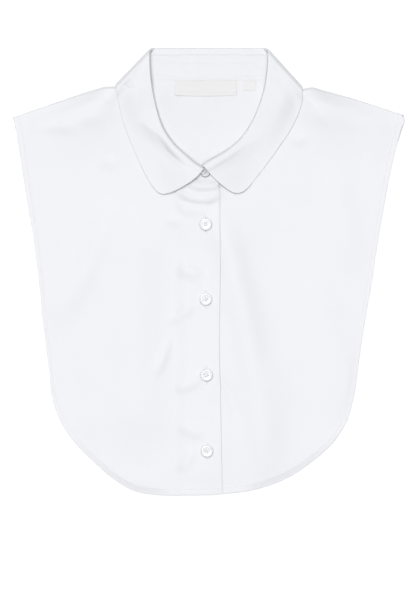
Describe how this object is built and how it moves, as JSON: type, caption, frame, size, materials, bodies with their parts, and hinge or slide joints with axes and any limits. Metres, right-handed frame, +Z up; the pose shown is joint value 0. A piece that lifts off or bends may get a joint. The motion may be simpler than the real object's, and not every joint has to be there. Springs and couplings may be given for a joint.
{
  "type": "detachable shirt collar",
  "caption": "White button-front detachable shirt collar with rounded collar points and short front and back bib panels, laid flat.",
  "frame": {"origin": "on the floor under the middle of the whole outline, with the back panel lying on the floor", "axes": "+X to the wearer's left (right in the picture), +Y towards the neck, +Z up from the floor"},
  "size_m": [0.3676, 0.4207, 0.0111],
  "materials": {
    "cotton": "white cotton satin with a faint sheen",
    "label_tape": "plain woven tape",
    "pearl_button": "pearly white polyester button"
  },
  "bodies": {
    "root": {"back_panel": "cotton", "right_front": "cotton", "left_front": "cotton", "collar_stand": "cotton", "collar_leaf": "cotton", "neck_label": "label_tape", "size_label": "label_tape", "button_1": "pearl_button", "button_2": "pearl_button", "button_3": "pearl_button", "button_4": "pearl_button", "stand_button": "pearl_button"}
  },
  "joints": []
}
